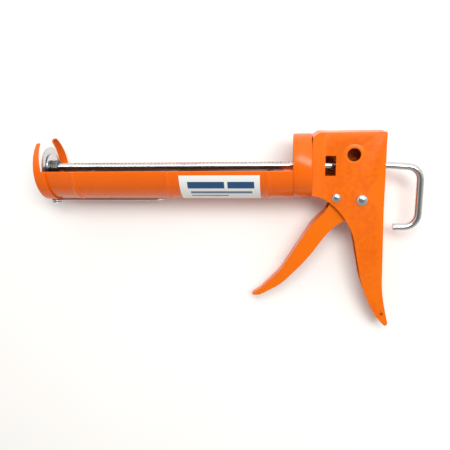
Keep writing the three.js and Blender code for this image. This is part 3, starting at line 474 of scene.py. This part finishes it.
# The side plates splay out to the collar from a bend along an upright line.
FLARE_ROUND = 4
FLARE_TURNS = (15, 40)
FLARE_STEPS = 6
UPRIGHT = 0.5
CUTTER_HOLE = (47.3, 9.6)
CUTTER_HOLE_R = 5.3
LIP_WIDTH = 3.4
LIP_HEIGHT = 0.4
LIP_SUNK = 0.6
LIP_STEPS = 8
LIP_SPIN_STEPS = 64
# The lip swells in a half sine, from this share of it on.
LIP_START = 0.25
# The CAD's vertices closer than this are one, and its faces within FLAT degrees are one flat face.
CAD_WELD = 1e-3
FLAT = 1.0


def from_cad(node):
    """The CAD node's surface as clean polygons in the gun's own frame, its triangles merged."""
    bm = bmesh.new()
    bm.from_mesh(frame["nodes"][node].data)
    bmesh.ops.transform(bm, matrix=PLACE.inverted(), verts=bm.verts)
    bmesh.ops.remove_doubles(bm, verts=bm.verts, dist=CAD_WELD)
    bmesh.ops.dissolve_limit(bm, angle_limit=radians(FLAT), verts=bm.verts, edges=bm.edges)
    return bm


def folds(bm, width):
    """The outer edges where a side plate meets a face that crosses the whole folded piece."""

    def crosses(face):
        heights = [vert.co.z for vert in face.verts]
        return max(heights) - min(heights) > width

    edges = sharp_edges(bm, FOLD_TURN)
    return [e for e in edges if e.is_convex and any(crosses(face) for face in e.link_faces)]


def point_left(bm, at):
    """Turns a shape spun on the barrel axis so that it points out of the left side, at an (x, y) place."""
    bmesh.ops.rotate(bm, verts=bm.verts, matrix=Matrix.Rotation(-pi / 2, 3, "Y"))
    bmesh.ops.translate(bm, verts=bm.verts, vec=(*at, 0))


handle_orange = orange_enamel("handle_orange", HANDLE_GREEN)
bm = from_cad("handle_frame")
flare_ends = [
    edge
    for edge in sharp_edges(bm, FLARE_TURNS[0])
    if edge.calc_face_angle(0) < radians(FLARE_TURNS[1])
    and abs(edge.verts[0].co.z) > PLATE_Z - NEAR
    and abs(edge.verts[0].co.x - edge.verts[1].co.x) < UPRIGHT
]
round_edges(bm, flare_ends, FLARE_ROUND, FLARE_STEPS)
round_edges(bm, folds(bm, PLATE_Z), FOLD_R, FOLD_STEPS)
round_edges(bm, sharp_edges(bm), RIM_R)
swell = []
for step in range(LIP_STEPS + 1):
    rise = LIP_HEIGHT * sin(pi * min(1, LIP_START + (1 - LIP_START) * step / LIP_STEPS))
    swell.append((PLATE_Z - NEAR + rise, CUTTER_HOLE_R + LIP_WIDTH * step / LIP_STEPS))
sunk_z = PLATE_Z - LIP_SUNK
lip = bmesh.new()
lip_section = [(sunk_z, CUTTER_HOLE_R), *swell, (sunk_z, CUTTER_HOLE_R + LIP_WIDTH)]
spin(lip, lip_section, steps=LIP_SPIN_STEPS, closed=True)
point_left(lip, CUTTER_HOLE)
add(bm, lip)
finished(bm, "handle_housing", handle_orange, "frame", "handle_frame")

# ---------------------------------------------------------------------------------------------------------
# Trigger: a folded lever whose two cheeks go up inside the housing, with the cutting arm on the left one.
# It turns on the pivot rivet's sleeve.
TRIGGER_FOLD_R = 1.1
TOE_WIDTH = 3

bm = from_cad("trigger")
round_edges(bm, folds(bm, TOE_WIDTH), TRIGGER_FOLD_R, FOLD_STEPS)
round_edges(bm, sharp_edges(bm), RIM_R)
finished(bm, "trigger_lever", handle_orange, "trigger", "trigger")

# ---------------------------------------------------------------------------------------------------------
# Push rod: a drawn 6 mm bar with saw teeth cut in one side, bent to a hook at the rear, bright zinc plated.
# It slides through the guide bush and turns to free its teeth from the pawl.
TOOTH_TURN = 32
TOOTH_EDGE_R = 0.1
ZINC = (0.68, 0.69, 0.7)
# A dull patch of plating has this share of its colour, and it is clean from CLEAN_FROM of the noise on.
DULL = 0.8
CLEAN_FROM = 0.6
DRAWING_LINES = (40, 900, 900)


def plated(name, colour, low, high):
    """Bare or plated steel: fine drawing lines, a faint cloudiness, and a roughness from low to high."""
    material, nodes, links, shader = new_material(name, colour, (low + high) / 2, metallic=1.0)
    stops = [(NOISE_LOW, tuple(c * DULL for c in colour)), (CLEAN_FROM, colour)]
    cloudy = ramp(nodes, links, noise(nodes, links, scale=60, detail=5), stops)
    links.new(cloudy, shader.inputs["Base Color"])
    gloss = span(nodes, links, noise(nodes, links, scale=90, detail=4), low, high)
    links.new(gloss, shader.inputs["Roughness"])
    lines = noise(nodes, links, scale=1, detail=3, stretch=DRAWING_LINES)
    bump(nodes, links, shader, lines, strength=0.05, distance=0.0001)
    return material


bright_zinc = plated("bright_zinc", ZINC, low=0.12, high=0.24)
bm = from_cad("push_rod")
round_edges(bm, sharp_edges(bm, TOOTH_TURN), TOOTH_EDGE_R, segments=1)
finished(bm, "push_rod_bar", bright_zinc, "rod", "push_rod", smooth=30)

# ---------------------------------------------------------------------------------------------------------
# Plunger: a pressed zinc-plated disc with a shallow ring, backed by a smaller disc.
# A split washer and a dark hexagon nut hold both against the rod's countersunk head.
PLUNGER_FRONT_X = -208.65
PLUNGER_SHEET = 1.4
PLUNGER_R = 17
PLUNGER_RIM_R = 0.35
ROD_HOLE_R = 3.2
ROD_HEAD_HOLE_R = 4.4
COUNTERSINK = 1.2
RING_R = 13.5
RING_HALF_WIDTH = 1
RING_HEIGHT = 0.35
BACKING_R = 11
BACKING_SHEET = 0.8
BACKING_RIM_R = 0.2
DARK_OILED = (0.16, 0.165, 0.17)
REFINED_TURN = 45

front, rear = PLUNGER_FRONT_X, PLUNGER_FRONT_X + PLUNGER_SHEET
profile = [
    (front, ROD_HEAD_HOLE_R),
    (front, RING_R - RING_HALF_WIDTH),
    (front + RING_HEIGHT, RING_R),
    (front, RING_R + RING_HALF_WIDTH),
    (front, PLUNGER_R),
    (rear, PLUNGER_R),
    (rear, RING_R + RING_HALF_WIDTH),
    (rear + RING_HEIGHT, RING_R),
    (rear, RING_R - RING_HALF_WIDTH),
    (rear, ROD_HOLE_R),
    (front + COUNTERSINK, ROD_HOLE_R),
]
bm = bmesh.new()
spin(bm, profile, closed=True)
round_edges(bm, sharp_edges(bm), PLUNGER_RIM_R, segments=3)
finished(bm, "plunger_disc", bright_zinc, "plunger", "plunger_plate", smooth=25)

near_x = rear + SEAM
far_x = near_x + BACKING_SHEET
bm = bmesh.new()
spin(bm, [(near_x, ROD_HOLE_R), (near_x, BACKING_R), (far_x, BACKING_R), (far_x, ROD_HOLE_R)], closed=True)
round_edges(bm, sharp_edges(bm), BACKING_RIM_R)
finished(bm, "plunger_backing_disc", bright_zinc, "plunger", "plunger_backing")


def refined(node, name, material, body, rim, smooth=35):
    """A piece whose CAD shape is right: its rims are rounded and its round faces shaded smooth."""
    bm = from_cad(node)
    round_edges(bm, sharp_edges(bm, REFINED_TURN), rim)
    finished(bm, name, material, body, node, smooth)


dark_steel = plated("dark_steel", DARK_OILED, low=0.3, high=0.5)
refined("lock_washer", "split_washer", dark_steel, "rod", rim=0.12)
refined("plunger_nut", "hexagon_nut", dark_steel, "rod", rim=0.45)

# ---------------------------------------------------------------------------------------------------------
# Guide bush: a flanged zinc-plated sleeve in the rear cap's back wall, seen through the window.
# The rod slides in it.
BUSH_R = 5.1
BUSH_FLANGE_R = 8
BUSH_FLANGE = 1.2
BUSH_END_X = 32.5

flange_x = COLLAR_LENGTH + SEAM
profile = [
    (wall_x, ROD_HOLE_R),
    (wall_x, BUSH_R),
    (flange_x, BUSH_R),
    (flange_x, BUSH_FLANGE_R),
    (flange_x + BUSH_FLANGE, BUSH_FLANGE_R),
    (flange_x + BUSH_FLANGE, BUSH_R),
    (BUSH_END_X, BUSH_R),
    (BUSH_END_X, ROD_HOLE_R),
]
bm = bmesh.new()
spin(bm, profile, closed=True)
round_edges(bm, sharp_edges(bm), RIM_R)
finished(bm, "guide_bush", bright_zinc, "frame", "rod_guide_bush")

# ---------------------------------------------------------------------------------------------------------
# Rivets: round-headed, bright zinc plated, set through both side plates. Each carries a spacer sleeve.
# The trigger turns on the larger sleeve and comes to rest against the smaller one.
DOME_STEPS = 10
RIVET_SPIN_STEPS = 48
# How far the left and right heads stand out, as a share of their radius.
HEAD_DOME = 0.5
TAIL_DOME = 0.35
# Each rivet's place (x, y), shank radius and head radius.
RIVETS = {
    "pivot_rivet": ((54.9, -26.6), 2.8, 4.7),
    "stop_rivet": ((34.7, -24.8), 2.2, 3.7),
}

face_z = PLATE_Z + SEAM
quarter = [pi / 2 * step / DOME_STEPS for step in range(DOME_STEPS + 1)]
for node, (at, shank_r, head_r) in RIVETS.items():
    tail = [(-face_z - head_r * TAIL_DOME * cos(a), head_r * sin(a)) for a in quarter]
    head = [(face_z + head_r * HEAD_DOME * cos(a), head_r * sin(a)) for a in reversed(quarter)]
    bm = bmesh.new()
    spin(bm, [*tail, (-face_z, shank_r), (face_z, shank_r), *head], steps=RIVET_SPIN_STEPS)
    point_left(bm, at)
    finished(bm, node + "_head", bright_zinc, "frame", node)

refined("pivot_sleeve", "pivot_spacer", dark_steel, "frame", rim=0.2)
refined("stop_sleeve", "stop_spacer", dark_steel, "frame", rim=0.2)

# ---------------------------------------------------------------------------------------------------------
# Drive: a hardened pawl on its pin in the trigger's cheeks, with the springs that hold it, the trigger
# and the rod. All but the plated pin are bare oiled steel, hidden but for what the openings show.
SPRING_GREY = (0.42, 0.43, 0.45)

spring_steel = plated("spring_steel", SPRING_GREY, low=0.25, high=0.4)
refined("drive_pawl", "ratchet_pawl", dark_steel, "pawl", rim=0.25)
refined("pawl_pin", "pawl_pivot_pin", bright_zinc, "trigger", rim=0.25)
refined("holding_spring", "rod_holding_leaf", spring_steel, "frame", rim=0.15)
refined("return_spring", "trigger_return_coil", spring_steel, "trigger", rim=0.08, smooth=70)
refined("pawl_spring", "pawl_lift_coil", spring_steel, "trigger", rim=0.05, smooth=70)

# ---------------------------------------------------------------------------------------------------------
# Seal punch: a pointed plated wire that lies under the barrel and swings out to pierce the cartridge's seal.
# Its eye turns on a small rivet in the front cap's skirt.
refined("seal_punch", "seal_punch_wire", bright_zinc, "punch", rim=0.08)
refined("punch_rivet", "punch_pivot_rivet", bright_zinc, "frame", rim=0.12)

# ---------------------------------------------------------------------------------------------------------
# Label: a printed white sticker wrapped round the cradle's left side, with plain bars where print would be.
# It is glued on between the second and third beads.
LABEL_R = CRADLE_R + SEAM
LABEL_PAPER = 0.18
LABEL_FRONT_X, LABEL_REAR_X = -90.2, -25.7
LABEL_LENGTH = LABEL_REAR_X - LABEL_FRONT_X
LABEL_TOP = radians(8)
LABEL_WRAP = radians(78)
LABEL_COLUMNS = 24
LABEL_ROWS = 36
PAPER = (0.83, 0.84, 0.83)
PAPER_SHADE = (0.8, 0.81, 0.8)
TITLE_BLUE = (0.012, 0.07, 0.19)
LINE_BLUE = (0.09, 0.17, 0.27)
LINE_RED = (0.33, 0.035, 0.03)
# Printed bars: (left, right, top, bottom, colour), in shares of the label's length and of its wrap, from
# its top left corner.
BARS = [
    (0.1, 0.56, 0.15, 0.33, TITLE_BLUE),
    (0.6, 0.93, 0.15, 0.33, TITLE_BLUE),
    (0.13, 0.9, 0.42, 0.5, LINE_BLUE),
    (0.13, 0.6, 0.57, 0.62, LINE_RED),
]

top_turn = pi / 2 + LABEL_TOP
columns = [(LABEL_FRONT_X + LABEL_LENGTH * i / LABEL_COLUMNS, LABEL_R) for i in range(LABEL_COLUMNS + 1)]
bm = bmesh.new()
spin(bm, columns, LABEL_WRAP, LABEL_ROWS, top_turn)
uv = bm.loops.layers.uv.new("label")
for face in bm.faces:
    for loop in face.loops:
        co = loop.vert.co
        turned = atan2(co.z, co.y) - top_turn
        loop[uv].uv = ((co.x - LABEL_FRONT_X) / LABEL_LENGTH, 1 - turned / LABEL_WRAP)
bmesh.ops.solidify(bm, geom=bm.faces, thickness=-LABEL_PAPER)

sticker, nodes, links, shader = new_material("printed_sticker", PAPER, roughness=0.42)
uv_map = nodes.new("ShaderNodeUVMap")
uv_map.uv_map = "label"
split = nodes.new("ShaderNodeSeparateXYZ")
links.new(uv_map.outputs["UV"], split.inputs["Vector"])


def within(value, low, high):
    """1 between two numbers and 0 outside them."""
    above = maths(nodes, links, "GREATER_THAN", value, low)
    return maths(nodes, links, "MULTIPLY", above, maths(nodes, links, "LESS_THAN", value, high))


stops = [(NOISE_LOW, PAPER_SHADE), (NOISE_HIGH, PAPER)]
colour = ramp(nodes, links, noise(nodes, links, scale=900, detail=3), stops)
for left, right, top, bottom, ink in BARS:
    wide = within(split.outputs["X"], left, right)
    high = within(split.outputs["Y"], 1 - bottom, 1 - top)
    colour = mixed(nodes, links, maths(nodes, links, "MULTIPLY", wide, high), colour, ink)
links.new(colour, shader.inputs["Base Color"])
gloss = span(nodes, links, noise(nodes, links, scale=120, detail=4), low=0.34, high=0.5)
links.new(gloss, shader.inputs["Roughness"])
bump(nodes, links, shader, noise(nodes, links, scale=500, detail=2), strength=0.08, distance=0.0002)
finished(bm, "printed_label", sticker, "frame", "label")
